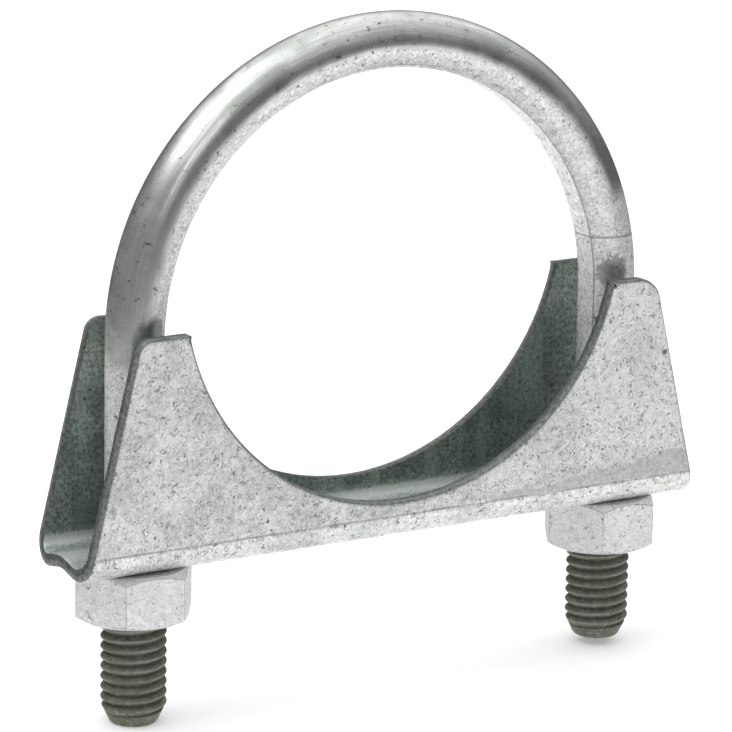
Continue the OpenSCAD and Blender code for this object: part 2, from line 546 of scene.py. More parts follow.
# %% Cutters
def cutter(name, x, s, radius, segments):
    """A cylinder that stands through the blank."""
    bm = bmesh.new()
    bmesh.ops.create_cone(bm, cap_ends=True, segments=segments, radius1=radius, radius2=radius,
                          depth=10 * MM, matrix=Matrix.Translation((x, s, 0)))
    mesh = bpy.data.meshes.new(name)
    bm.to_mesh(mesh)
    bm.free()
    tool = bpy.data.objects.new(name, mesh)
    scene.collection.objects.link(tool)
    return tool


def punch(bm, tools):
    """The bmesh with the tools cut out of it."""
    mesh = bpy.data.meshes.new("blank")
    bm.to_mesh(mesh)
    bm.free()
    blank = bpy.data.objects.new("blank", mesh)
    scene.collection.objects.link(blank)
    for tool in tools:
        cut = blank.modifiers.new("punch", "BOOLEAN")
        cut.operation = "DIFFERENCE"
        cut.solver = "EXACT"
        cut.object = tool
    view = bpy.context.evaluated_depsgraph_get()
    result = bmesh.new()
    result.from_object(blank, view)
    for scrap in [blank] + tools:
        bpy.data.objects.remove(scrap)
    return result


print("a leg's hole is", round(2 * hole_r / MM, 1), "mm wide")


# %% Straight cuts
def trim(bm, point, direction):
    """Cuts away what lies beyond a plane, and closes the cut."""
    cut = bmesh.ops.bisect_plane(bm, geom=bm.verts[:] + bm.edges[:] + bm.faces[:], dist=1e-8,
                                 plane_co=point, plane_no=direction, clear_outer=True)
    rim_edges = [g for g in cut["geom_cut"] if isinstance(g, bmesh.types.BMEdge)]
    bmesh.ops.edgeloop_fill(bm, edges=rim_edges)


def upright(bm, x_from, x_to, s_near):
    """Edges of the blank that run through its thickness, in a range of x and near one |s|."""
    return [e for e in bm.edges if abs(e.verts[0].co.z - e.verts[1].co.z) > sheet / 2
            and x_from < e.verts[0].co.x < x_to and abs(abs(e.verts[0].co.y) - s_near) < 0.02 * MM]


print("the ends lean by", end_slope, "mm for each mm of height")

# %% [markdown]
# ## The flat blank
# A box becomes the blank in the order of the shop: the ends are trimmed, the upper corners
# are rounded, the pipe's cut-outs and the legs' holes are punched, and the sharp tips that
# the cut-outs leave on the horns are rounded. The right horns have the larger radius, as the
# two ends come from different punches.

# %% Blank of the saddle
def blank_plate():
    """The flat blank with its outline cut, its corners rounded and its holes punched."""
    bm = bmesh.new()
    bmesh.ops.create_cube(bm, size=1)
    bmesh.ops.scale(bm, verts=bm.verts, vec=(2 * saddle_base, 2 * blank_top, sheet))
    bend_loss = end_slope * corner_r
    for side in (-1, 1):
        for end in (-1, 1):
            trim(bm, (end * saddle_base, side * foot_y, 0), (end * bend_length, side * bend_loss, 0))
            trim(bm, (end * (saddle_base - bend_loss), side * flange_start, 0), (end, side * end_slope, 0))
    reach = saddle_base * 2
    opening = (pi / 2 - atan2(end_slope, 1)) / 2
    for radius, x_from, x_to in ((left_horn_r, -reach, 0), (right_horn_r, 0, reach)):
        bmesh.ops.bevel(bm, geom=upright(bm, x_from, x_to, blank_top), offset=radius * tan(opening),
                        segments=12, profile=0.5, affect="EDGES", material=-1)
    cut_s = flange_start + cut_height - corner_r
    tools = [cutter("pipe_punch", 0, side * cut_s, pipe_r, 240) for side in (-1, 1)]
    tools += [cutter("leg_punch", side * bend_r, 0, hole_r, 64) for side in (-1, 1)]
    bm = punch(bm, tools)
    mouth = sqrt(pipe_r ** 2 - (cut_s - blank_top) ** 2)
    inner_corners = upright(bm, -mouth - 0.1 * MM, mouth + 0.1 * MM, blank_top)
    bmesh.ops.bevel(bm, geom=inner_corners, offset=inner_horn_r, segments=5, profile=0.5,
                    affect="EDGES", material=-1)
    return bm


saddle_bm = blank_plate()
print("faces of the blank:", len(saddle_bm.faces))

# %% [markdown]
# ## Rims
# The blank is now one plate with sharp rims. A punch pulls the metal down with it where it
# enters the sheet, so one rim of the cut is rolled, and the other keeps a burr. The side that
# was on top in the press became the outside of the channel.

# %% Roll the rims
rolled_rim = 0.5 * MM
burr_rim = 0.1 * MM


def roll_rims(bm):
    """Rounds the rims of every cut: wide on the outer face, and narrow on the inner one."""
    for face_z, width, segments in ((-sheet / 2, rolled_rim, 4), (sheet / 2, burr_rim, 2)):
        edges = [e for e in bm.edges if all(abs(v.co.z - face_z) < 1e-6 for v in e.verts)
                 and e.calc_face_angle(0) > radians(60)]
        bmesh.ops.bevel(bm, geom=edges, offset=width, segments=segments, profile=0.5,
                        affect="EDGES", material=-1)


roll_rims(saddle_bm)
print("faces with rolled rims:", len(saddle_bm.faces))

# %% [markdown]
# ## Bend lines
# A flat plate has only large faces, and a large face can't bend. Planes score it with extra
# lines, dense where the bends will be, a pair of close ones each side of the fold for the
# crease, and a loose grid elsewhere. Subdividing every face would add points where none help.

# %% Score the blank
x_step, flange_step, crease_step = 2 * MM, 1.7 * MM, 0.12 * MM


def score(bm):
    """Cuts the lines into the blank that it needs to bend."""
    lines = [(foot_y * k / 8, "s") for k in range(-8, 9)]
    lines += [(side * (foot_y + bend_length * k / 10), "s") for k in range(1, 11) for side in (-1, 1)]
    lines += [(side * (flange_start + flange_step * k), "s") for k in range(1, 15) for side in (-1, 1)]
    lines += [(side * (flange_start + crease_step * k), "s") for k in (-2, -1, 1, 2) for side in (-1, 1)]
    lines += [(x_step * k, "x") for k in range(-21, 22)]
    for place, kind in lines:
        point = (place, 0, 0) if kind == "x" else (0, place, 0)
        normal = (1, 0, 0) if kind == "x" else (0, 1, 0)
        bmesh.ops.bisect_plane(bm, geom=bm.verts[:] + bm.edges[:] + bm.faces[:], dist=1e-8,
                               plane_co=point, plane_no=normal)


score(saddle_bm)
print("faces with bend lines:", len(saddle_bm.faces))

# %% [markdown]
# ## Press the saddle
# While the blank is still flat, it is easy to tell its faces apart: depth gives outside from
# inside, and slope gives the sheared edges. So the layers for the finish are filled now, and
# then every point moves to its place on the channel. The die's edge also left a shallow
# crease along the outside, where each bend ends.

# %% Layers and bending
crease_half = 0.2 * MM
crease_depth = 0.05 * MM


def press(bm):
    """Fills the layers that the sheet's finish reads, and bends the blank to a channel."""
    inside = bm.verts.layers.float.new("inside")
    sheared = bm.verts.layers.float.new("sheared")
    crease = bm.verts.layers.float.new("crease")
    bm.normal_update()
    for vert in bm.verts:
        slopes = [1 - abs(f.normal.z) for f in vert.link_faces]
        vert[sheared] = sum(slopes) / max(len(slopes), 1)
        vert[inside] = vert.co.z / sheet + 0.5
        on_line = smooth(1 - abs(abs(vert.co.y) - flange_start) / crease_half)
        vert[crease] = on_line * (1 - min(vert[inside] * 4, 1)) * (1 - vert[sheared])
    for vert in bm.verts:
        depth = vert.co.z + sheet / 2 + crease_depth * vert[crease]
        vert.co = channel_point(vert.co.x, vert.co.y, depth)


press(saddle_bm)
print("saddle reaches up to", round(max(v.co.z for v in saddle_bm.verts) / MM, 2), "mm")

# %% [markdown]
# ## Nuts
# A nut is turned from hexagon bar. A six-sided prism with a bevel would have straight
# chamfers, and a real nut's are cones. So the mesh is a spun blank with 30 degree chamfers,
# and planes cut the six flats from it: the curved line where a flat meets a chamfer then
# comes by itself. The thread in the nut is the leg's own thread, moved out by the play.

# %% Sizes of a nut
nut_play = 0.05 * MM
across_flats = 13 * MM
blank_r = 7.62 * MM
face_r = 0.477 * across_flats
chamfer_slope = radians(30)
nut_chamfer = (blank_r - face_r) * tan(chamfer_slope)
bore_r = 3.4 * MM
sink_r = crest_r + nut_play + 0.45 * MM
hole_rim_r = sink_r + 0.08 * MM
edge_width = 0.13 * MM
print("corners of a nut are", round(across_flats / cos(radians(30)) / MM, 2), "mm across")


# %% Thread in a nut
def nut_thread(angle, z, side):
    """Radius and crest share of a nut's thread at a point."""
    height = ridge(angle, z, side)
    radius = max(root_r + (crest_r - root_r) * height + nut_play, bore_r)
    sunk = sink_r - min(z - nut_low, nut_high - z)
    return max(radius, sunk), 1 - height


print("radius where a nut's hole starts, in mm:", round(nut_thread(0, nut_low, "left")[0] / MM, 2))


# %% Nut
spin_steps = 120


def build_nut(side, turn):
    """A nut on one leg, turned by some degrees, as one closed skin."""
    sign = -1 if side == "left" else 1
    place = Vector((sign * bend_r, 0, 0))
    bm = bmesh.new()
    crest = bm.verts.layers.float.new("crest")
    thread = bm.verts.layers.float.new("thread")
    edge = bm.verts.layers.float.new("edge")
    outline = ((hole_rim_r, nut_low), (face_r, nut_low), (blank_r, nut_low + nut_chamfer),
               (blank_r, nut_high - nut_chamfer), (face_r, nut_high), (hole_rim_r, nut_high))
    chain = [bm.verts.new((place.x + outline[0][0], 0, outline[0][1]))]
    for radius, height in outline[1:]:
        point = bmesh.ops.extrude_vert_indiv(bm, verts=[chain[-1]])["verts"][0]
        point.co = (place.x + radius, 0, height)
        chain.append(point)
    bmesh.ops.spin(bm, geom=chain + bm.edges[:], cent=place, axis=(0, 0, 1), angle=2 * pi,
                   steps=spin_steps, use_merge=True)
    # Half a step of turn puts the six corners between two columns of the spin
    half_step = Matrix.Rotation(pi / spin_steps, 3, "Z")
    bmesh.ops.rotate(bm, verts=bm.verts, cent=place, matrix=half_step)
    for k in range(6):
        way = Vector((cos(radians(30 + 60 * k)), sin(radians(30 + 60 * k)), 0))
        trim(bm, place + way * across_flats / 2, way)
    edges = [e for e in bm.edges if len(e.link_faces) == 2 and e.calc_face_angle() > radians(20)]
    soften(bm, edges, edge_width, edge)
    spun = Matrix.Rotation(radians(turn), 3, "Z")
    bmesh.ops.rotate(bm, verts=bm.verts, cent=place, matrix=spun)
    join(bm, thread_tube(place, nut_low, nut_high, side, nut_thread))
    for height in (nut_low, nut_high):
        bmesh.ops.triangle_fill(bm, edges=rim(bm, height), use_beauty=True, normal=(0, 0, 1))
    return bm


nut_turns = {"left": -4.5, "right": 0.5}
nut_bms = {side: build_nut(side, turn) for side, turn in nut_turns.items()}
print("points in each nut:", [len(bm.verts) for bm in nut_bms.values()])

# %% [markdown]
# ## Zinc plate
# All four pieces are mild steel with bright zinc on it. What differs is how the steel was
# made before it was plated. Zinc is a light, slightly blue metal. Its sheen is broken by a
# fine grain, by cloudy patches a few millimetres wide, and by small dark pits. A picture of
# real zinc could be laid on, but it would stretch over the bends and repeat. Noise in the
# piece's own space does neither. The patterns that every piece has are made once, here.

# %% Start of a plated finish
def plated(name, metallic):
    """Starts a zinc material, and returns its parts and the patterns that all zinc has."""
    material = bpy.data.materials.new(name)
    material.use_nodes = True
    tree = material.node_tree
    shader = tree.nodes["Principled BSDF"]
    shader.inputs["Metallic"].default_value = metallic
    place = add(tree, "TexCoord", output="Object")
    # Patches of thicker and thinner zinc, 6 mm across
    patch = add(tree, "TexNoise", {"Vector": place, "Scale": per(6), "Detail": 3, "Roughness": 0.6})
    clouds = add(tree, "MapRange", {"Value": patch, "From Min": 0.36, "From Max": 0.64}, **soft)
    # The crystals of the plate: far finer than this in truth, drawn at 0.5 mm so that they show
    crystal = add(tree, "TexNoise", {"Vector": place, "Scale": per(0.5), "Detail": 4, "Roughness": 0.75})
    grain = add(tree, "MapRange", {"Value": crystal, "From Min": 0.36, "From Max": 0.64}, **soft)
    # Pits 0.3 mm across, where the pickling bath bit into the steel
    spot = add(tree, "TexNoise", {"Vector": place, "Scale": per(0.8), "Detail": 3, "Roughness": 0.75})
    pits = add(tree, "MapRange", {"Value": spot, "From Min": 0.61, "From Max": 0.68}, **soft)
    # Short curled strokes 0.2 mm wide, from the rolls that the steel went through: the
    # contour lines of one noise, broken up by another
    curl = add(tree, "TexNoise", {"Vector": place, "Scale": per(1.15), "Detail": 1.5, "Distortion": 1.8})
    off_line = add(tree, "Math", {0: curl, 1: 0.5}, operation="SUBTRACT")
    off_line = add(tree, "Math", {0: off_line}, operation="ABSOLUTE")
    line = add(tree, "MapRange", {"Value": off_line, "From Min": 0.05, "From Max": 0.0}, **soft)
    gaps = add(tree, "TexNoise", {"Vector": place, "Scale": per(1.0), "Detail": 1})
    gaps = add(tree, "MapRange", {"Value": gaps, "From Min": 0.42, "From Max": 0.56}, **soft)
    strokes = add(tree, "Math", {0: line, 1: gaps}, operation="MULTIPLY")
    return SimpleNamespace(material=material, tree=tree, shader=shader, place=place, patch=patch,
                           clouds=clouds, grain=grain, pits=pits, strokes=strokes)


print("grain is drawn at 0.5 mm, a scale of", round(per(0.5)))

# %% [markdown]
# ## Outside of the sheet
# Pressed sheet comes out of the plating bath bright and crinkled, and the crinkle is
# strongest at the right end, which hung lowest; that end is also painted lighter, as painted
# light. Gray strokes and dark pits from the rolled sheet show through.

# %% Outer zinc
def outer_zinc(zinc, right_light_and_crinkle):
    """Colour of the channel's outer face."""
    tree, grain = zinc.tree, zinc.grain
    # Thicker zinc in the patches, plus painted light that lightens the right end
    thick_zinc_and_right_light = add(tree, "Math", {0: right_light_and_crinkle, 1: 0.45, 2: zinc.clouds}, operation="MULTIPLY_ADD", use_clamp=True)
    thick = add(tree, "Mix", {0: grain, 6: linear("#DFE1DE"), 7: linear("#FCFCFB")}, 2, **paint)
    thin = add(tree, "Mix", {0: grain, 6: linear("#BEC2BE"), 7: linear("#E6E8E6")}, 2, **paint)
    colour = add(tree, "Mix", {0: thick_zinc_and_right_light, 6: thin, 7: thick}, 2, **paint)
    colour = add(tree, "Mix", {0: zinc.strokes, 6: colour, 7: linear("#8F9591")}, 2, **paint)
    return add(tree, "Mix", {0: zinc.pits, 6: colour, 7: linear("#767C77")}, 2, **paint)


print("bright zinc as light:", round(linear("#FCFCFB")[0], 2))

# %% [markdown]
# ## Gray band and blister
# The outer zinc is painted grayer in a band just above the bend, wider toward the right end,
# with a ragged upper border. One blister broke the zinc near that end. Both are masks worked
# out from place: a height with noise added, and a distance from one point.

# %% Gray band and blister
blister = (37.3 * MM, -7.1 * MM, -7.7 * MM)


def band_and_blister_marks(zinc, axes, colour):
    """The outer colour with a gray band above the bend and a blister."""
    tree = zinc.tree
    # The outer zinc is painted grayer in a band just above the bend
    above = add(tree, "MapRange", {"Value": axes["Z"], "From Min": saddle_low.z + 3.2 * MM,
                                   "From Max": saddle_low.z + 3.5 * MM}, **soft)
    uneven = add(tree, "Math", {0: axes["X"], 1: 0.11, 2: saddle_low.z + 0.1 * MM}, operation="MULTIPLY_ADD")
    uneven = add(tree, "Math", {0: zinc.patch, 1: 4 * MM, 2: uneven}, operation="MULTIPLY_ADD")
    over = add(tree, "Math", {0: axes["Z"], 1: uneven}, operation="SUBTRACT")
    below = add(tree, "MapRange", {"Value": over, "From Min": 0.5 * MM, "From Max": 0.0}, **soft)
    gray_band = add(tree, "Math", {0: above, 1: below}, operation="MULTIPLY")
    gray_band = add(tree, "Math", {0: gray_band, 1: 0.75}, operation="MULTIPLY")
    dull = add(tree, "Mix", {0: zinc.grain, 6: linear("#B4B8B5"), 7: linear("#CDD0CE")}, 2, **paint)
    colour = add(tree, "Mix", {0: gray_band, 6: colour, 7: dull}, 2, **paint)
    from_blister = add(tree, "VectorMath", {0: zinc.place, 1: blister}, "Value", operation="DISTANCE")
    hole = add(tree, "MapRange", {"Value": from_blister, "From Min": 0.5 * MM, "From Max": 0.2 * MM}, **soft)
    return add(tree, "Mix", {0: hole, 6: colour, 7: linear("#6F7672")}, 2, **paint)


print("the blister is", round((blister[2] - saddle_low.z) / MM, 1), "mm above the saddle's underside")

# %% [markdown]
# ## Inside of the sheet
# The inside of a channel gets little current in the plating bath, so its zinc is thin and
# green-gray, with runs where the bath drained. It is painted darker the deeper it lies, as
# painted shade. The web is painted paler, as painted light, because it faces the opening,
# and a painted highlight lies along the inside of each bend.

# %% Inner zinc
def inner_zinc(zinc, axes):
    """Colour of the channel's inner face."""
    tree, grain = zinc.tree, zinc.grain
    # Painted shade: the inside is darker the deeper it lies
    painted_depth_shade = add(tree, "MapRange", {"Value": axes["Z"], "From Min": -6 * MM, "From Max": -20 * MM}, **soft)
    run = add(tree, "Mapping", {"Vector": zinc.place, "Scale": (1, 1, 0.15)})
    runs = add(tree, "TexNoise", {"Vector": run, "Scale": per(1.6), "Detail": 3})
    runs = add(tree, "MapRange", {"Value": runs, "From Min": 0.4, "From Max": 0.66, "To Max": 0.3}, **soft)
    shallow = add(tree, "Mix", {0: grain, 6: linear("#6F7D74"), 7: linear("#C2CDC5")}, 2, **paint)
    sunk = add(tree, "Mix", {0: grain, 6: linear("#505C55"), 7: linear("#A0ACA4")}, 2, **paint)
    inner = add(tree, "Mix", {0: painted_depth_shade, 6: shallow, 7: sunk}, 2, **paint)
    # Painted light: the web is paler because it faces the opening
    web = add(tree, "MapRange", {"Value": axes["Z"], "From Min": saddle_low.z + 4 * MM,
                                 "From Max": saddle_low.z + 2.4 * MM}, **soft)
    painted_web_light = add(tree, "Mix", {0: grain, 6: linear("#8C9991"), 7: linear("#CFD6D1")}, 2, **paint)
    faint = add(tree, "MapRange", {"Value": zinc.clouds, "To Min": 0.45})
    inner = add(tree, "Mix", {0: faint, 6: linear("#55635A"), 7: inner}, 2, **paint)
    inner = add(tree, "Mix", {0: runs, 6: inner, 7: linear("#AEBBB3")}, 2, **paint)
    inner = add(tree, "Mix", {0: web, 6: inner, 7: painted_web_light}, 2, **paint)
    inner = add(tree, "Mix", {0: zinc.pits, 6: inner, 7: linear("#46504A")}, 2, **paint)
    # A painted highlight along the inside of each bend
    up_bend = add(tree, "Math", {0: axes["Z"], 1: saddle_low.z + 2.5 * MM}, operation="SUBTRACT")
    up_bend = add(tree, "Math", {0: up_bend}, operation="ABSOLUTE")
    painted_bend_highlight = add(tree, "MapRange", {"Value": up_bend, "From Min": 0.8 * MM, "From Max": 0.3 * MM}, **soft)
    painted_bend_highlight = add(tree, "MapRange", {"Value": painted_bend_highlight, "To Max": 0.8})
    return add(tree, "Mix", {0: painted_bend_highlight, 6: inner, 7: linear("#DDE3DF")}, 2, **paint)


print("inner zinc as light:", round(linear("#A0ACA4")[1], 2))

# %% [markdown]
# ## Sheared edges
# A punch shears the first half of the sheet's thickness and burnishes it, and then the rest
# tears. Zinc on torn steel looks dull and dark. The layer of depth through the sheet tells
# the two halves apart. The lighter burnished half also carries a painted highlight of the
# rolled rim.

# %% Sheared steel
def sheared_steel(zinc, through):
    """Colour of a cut edge."""
    tree, grain = zinc.tree, zinc.grain
    torn = add(tree, "Mix", {0: grain, 6: linear("#474C48"), 7: linear("#737874")}, 2, **paint)
    shorn_and_rim_highlight = add(tree, "Mix", {0: grain, 6: linear("#646965"), 7: linear("#929793")}, 2, **paint)
    # The outer half is lighter: burnished shear plus a painted highlight on the rolled rim
    burnish_and_rim_highlight = add(tree, "MapRange", {"Value": through, "From Min": 0.62, "From Max": 0.5}, **soft)
    return add(tree, "Mix", {0: burnish_and_rim_highlight, 6: torn, 7: shorn_and_rim_highlight}, 2, **paint)


print("sheared steel as light:", round(linear("#929793")[0], 2))

# %% [markdown]
# ## Sheet finish
# The layers of the mesh choose between the faces: outside, inside and sheared edge. Crinkled
# zinc scatters light, so the sheet is fairly rough, and duller still on the sheared edges. It
# is a little over half metallic, because the thin oxide on zinc gives a chalky share of light.

# %% Sheet finish
def sheet_finish():
    """Zinc plate on pressed sheet: a bright crinkled skin, dark inside, with dull cut edges."""
    zinc = plated("zinc_plate_on_pressed_sheet", 0.55)
    tree = zinc.tree
    through = add(tree, "Attribute", output="Fac", attribute_name="inside")
    inside = add(tree, "MapRange", {"Value": through, "From Min": 0.8, "From Max": 0.95}, **soft)
    cut = add(tree, "Attribute", output="Fac", attribute_name="sheared")
    cut = add(tree, "MapRange", {"Value": cut, "From Min": 0.04, "From Max": 0.25}, **soft)
    crease = add(tree, "Attribute", output="Fac", attribute_name="crease")
    crease = add(tree, "Math", {0: crease, 1: zinc.clouds}, operation="MULTIPLY")
    axes = add(tree, "SeparateXYZ", {0: zinc.place}).node.outputs
    # Painted light toward the right end, which also drives the stronger crinkle
    right_light_and_crinkle = add(tree, "MapRange", {"Value": axes["X"], "From Min": -5 * MM, "From Max": 30 * MM}, **soft)
    outer = band_and_blister_marks(zinc, axes, outer_zinc(zinc, right_light_and_crinkle))
    colour = add(tree, "Mix", {0: inside, 6: outer, 7: inner_zinc(zinc, axes)}, 2, **paint)
    colour = add(tree, "Mix", {0: cut, 6: colour, 7: sheared_steel(zinc, through)}, 2, **paint)
    # The crease is painted darker: painted shade along the crease, patchy with the clouds
    colour = add(tree, "Mix", {0: crease, 6: colour, 7: linear("#949995")}, 2, **paint)
    tree.links.new(colour, zinc.shader.inputs["Base Color"])
    rough = add(tree, "MapRange", {"Value": zinc.grain, "To Min": 0.55, "To Max": 0.38})
    rough = add(tree, "MapRange", {"Value": cut, "To Min": rough, "To Max": 0.62})
    tree.links.new(rough, zinc.shader.inputs["Roughness"])
    relief = add(tree, "Math", {0: zinc.strokes, 1: -0.7, 2: zinc.grain}, operation="MULTIPLY_ADD")
    crinkle = add(tree, "MapRange", {"Value": right_light_and_crinkle, "To Min": 1.0, "To Max": 1.6})
    relief = add(tree, "Math", {0: relief, 1: crinkle}, operation="MULTIPLY")
    bump = add(tree, "Bump", {"Strength": 0.35, "Distance": 0.04 * MM, "Height": relief})
    tree.links.new(bump, zinc.shader.inputs["Normal"])
    return zinc.material


sheet_zinc = sheet_finish()
print("nodes in the sheet's finish:", len(sheet_zinc.node_tree.nodes))

# %% [markdown]
# ## Two sides of the rod
# Drawn rod is smooth and bright, with faint lines along it from the drawing die. Where the
# former and the clamps pressed it, the zinc took a rougher, paler grain, with scuffs across.
# Lines along a bent rod can't come from straight coordinates, so the patterns are read in
# the rod's own layers: along it, out from its centre line, and sideways.

# %% Drawn and pressed sides
def rod_sides(zinc, axes, along, out, pressed):
    """Colour of the rod before its marks, and the pattern of its drawn lines."""
    tree, grain, clouds = zinc.tree, zinc.grain, zinc.clouds
    unbent = add(tree, "CombineXYZ", {"X": along, "Y": out, "Z": axes["Y"]})
    drawn = add(tree, "Mapping", {"Vector": unbent, "Scale": (0.06, 1, 1)})
    # Lines that the drawing die left along the rod, 0.4 mm apart and many millimetres long
    lines = add(tree, "TexNoise", {"Vector": drawn, "Scale": per(0.4), "Detail": 3, "Roughness": 0.6})
    lines = add(tree, "MapRange", {"Value": lines, "From Min": 0.38, "From Max": 0.62}, **soft)
    wiped = add(tree, "Mapping", {"Vector": unbent, "Scale": (1, 0.12, 0.12), "Rotation": (0, 0, 0.35)})
    # Scuffs across the pressed side, where it slid in the bending former
    scuffs = add(tree, "TexNoise", {"Vector": wiped, "Scale": per(0.7), "Detail": 3, "Roughness": 0.6})
    scuffs = add(tree, "MapRange", {"Value": scuffs, "From Min": 0.54, "From Max": 0.66}, **soft)
    right_arc_only = {"Value": along, "From Min": 45 * MM, "From Max": 15 * MM, "To Max": 0.6}
    scuffs = add(tree, "Math", {0: scuffs, 1: add(tree, "MapRange", right_arc_only)}, operation="MULTIPLY")
    smooth_side = add(tree, "Mix", {0: lines, 6: linear("#C6C9C5"), 7: linear("#DFE0DD")}, 2, **paint)
    smooth_side = add(tree, "Mix", {0: clouds, 6: linear("#B5B9B5"), 7: smooth_side}, 2, **paint)
    rough_side = add(tree, "Mix", {0: grain, 6: linear("#C6C9C6"), 7: linear("#F4F4F3")}, 2, **paint)
    rough_side = add(tree, "Mix", {0: zinc.strokes, 6: rough_side, 7: linear("#A0A39F")}, 2, **paint)
    rough_side = add(tree, "Mix", {0: scuffs, 6: rough_side, 7: linear("#F6F6F5")}, 2, **paint)
    colour = add(tree, "Mix", {0: pressed, 6: smooth_side, 7: rough_side}, 2, **paint)
    return add(tree, "Mix", {0: zinc.pits, 6: colour, 7: linear("#7D827D")}, 2, **paint), lines


print("a drawn line is about", round(0.4 / 0.06, 1), "mm long")

# %% [markdown]
# ## Marks of the bending tools
# A clamp held the right leg while the former turned, and its edge left a thin line across the
# leg. The former's edge left another one along the inner side of the bend. Each line is the
# distance from one value of a layer, cut off to a narrow band. Each leg also gets a dark spot
# of painted shadow and painted reflection of a saddle horn: one distance serves both, because
# left is mirrored on right.

# %% Tool marks
clamp_line = 6.7 * MM
former_angle = radians(43)
# Where the painted shadow and reflection of the horns lies on the legs
horn_shadow_spot = (32.0 * MM, 3.3 * MM, 2.3 * MM)


def tool_marks(zinc, axes, along, out, pressed, colour):
    """The rod's colour with the clamp's line, the former's line and the horns' painted shadow."""
    tree = zinc.tree
    # The clamp's line across the right leg
    off_mark = add(tree, "Math", {0: out, 1: 0.2, 2: along}, operation="MULTIPLY_ADD")
    off_mark = add(tree, "Math", {0: off_mark, 1: clamp_line}, operation="SUBTRACT")
    off_mark = add(tree, "Math", {0: off_mark}, operation="ABSOLUTE")
    mark = add(tree, "MapRange", {"Value": off_mark, "From Min": 0.22 * MM, "From Max": 0.05 * MM}, **soft)
    mark = add(tree, "Math", {0: mark, 1: pressed}, operation="MULTIPLY")
    mark = add(tree, "Math", {0: mark, 1: 0.7}, operation="MULTIPLY")
    colour = add(tree, "Mix", {0: mark, 6: colour, 7: linear("#7E827E")}, 2, **paint)
    # The former's line, which lies at one angle round the rod's section
    depth = add(tree, "Math", {0: out, 1: -1}, operation="MULTIPLY")
    across = add(tree, "Math", {0: axes["Y"]}, operation="ABSOLUTE")
    around = add(tree, "Math", {0: across, 1: depth}, operation="ARCTAN2")
    off_line = add(tree, "Math", {0: around, 1: former_angle}, operation="SUBTRACT")
    off_line = add(tree, "Math", {0: off_line}, operation="ABSOLUTE")
    former = add(tree, "MapRange", {"Value": off_line, "From Min": 0.045, "From Max": 0.01}, **soft)
    left_arc_only = {"Value": along, "From Min": 40 * MM, "From Max": 50 * MM, "To Max": 0.6}
    left_arc_only = add(tree, "MapRange", left_arc_only, **soft)
    former = add(tree, "Math", {0: former, 1: left_arc_only}, operation="MULTIPLY")
    colour = add(tree, "Mix", {0: former, 6: colour, 7: linear("#7C807C")}, 2, **paint)
    # The painted shadow and reflection of the horns, with a border that the patches and the grain make
    # ragged
    mirrored = add(tree, "VectorMath", {0: zinc.place}, operation="ABSOLUTE")
    from_horn = add(tree, "VectorMath", {0: mirrored, 1: horn_shadow_spot}, "Value", operation="DISTANCE")
    ragged = add(tree, "Math", {0: zinc.patch, 1: 5 * MM, 2: from_horn}, operation="MULTIPLY_ADD")
    ragged = add(tree, "Math", {0: zinc.grain, 1: 0.6 * MM, 2: ragged}, operation="MULTIPLY_ADD")
    painted_horn_shadow = add(tree, "MapRange", {"Value": ragged, "From Min": 4.6 * MM, "From Max": 3.7 * MM}, **soft)
    painted_horn_shadow = add(tree, "Math", {0: painted_horn_shadow, 1: 0.6}, operation="MULTIPLY")
    return add(tree, "Mix", {0: painted_horn_shadow, 6: colour, 7: linear("#6A6F6A")}, 2, **paint)


print("the former's line lies at", round(former_angle * 180 / pi), "degrees from the inside")

# %% [markdown]
# ## Oily thread
# Zinc hardly reached the thread, which still holds the dark oil of the rolling machine. So
# the thread is olive-gray and speckled, and its crests are painted a little brighter as a
# painted highlight. The layer of the crests follows the ridges exactly, which a striped
# pattern would not.

# %% Oily thread
def oily_thread(zinc, crest):
    """Colour of a rolled thread."""
    tree = zinc.tree
    oily = add(tree, "Mix", {0: zinc.clouds, 6: linear("#62644E"), 7: linear("#5C6059")}, 2, **paint)
    oily = add(tree, "Mix", {0: zinc.grain, 6: oily, 7: linear("#6E7166")}, 2, **paint)
    specks = add(tree, "Math", {0: zinc.strokes, 1: 0.7}, operation="MULTIPLY")
    oily = add(tree, "Mix", {0: specks, 6: oily, 7: linear("#9A9D91")}, 2, **paint)
    # The crests are painted lighter: a painted highlight along each ridge, patchy with the clouds
    wear_and_crest_highlight = add(tree, "MapRange", {"Value": crest, "From Min": 0.88, "From Max": 1.0}, **soft)
    wear_and_crest_highlight = add(tree, "Math", {0: wear_and_crest_highlight, 1: zinc.clouds}, operation="MULTIPLY")
    return add(tree, "Mix", {0: wear_and_crest_highlight, 6: oily, 7: linear("#8D9086")}, 2, **paint)


print("oily thread as light:", round(linear("#6E7166")[0], 2))

# %% [markdown]
# ## Rod finish
# The drawn side is the shiniest zinc of the clamp and mirrors the room as one long stripe.
# The pressed side is rougher and less metallic, and oil makes the thread dull. The border
# between the sides is ragged, because zinc creeps over it in patches.

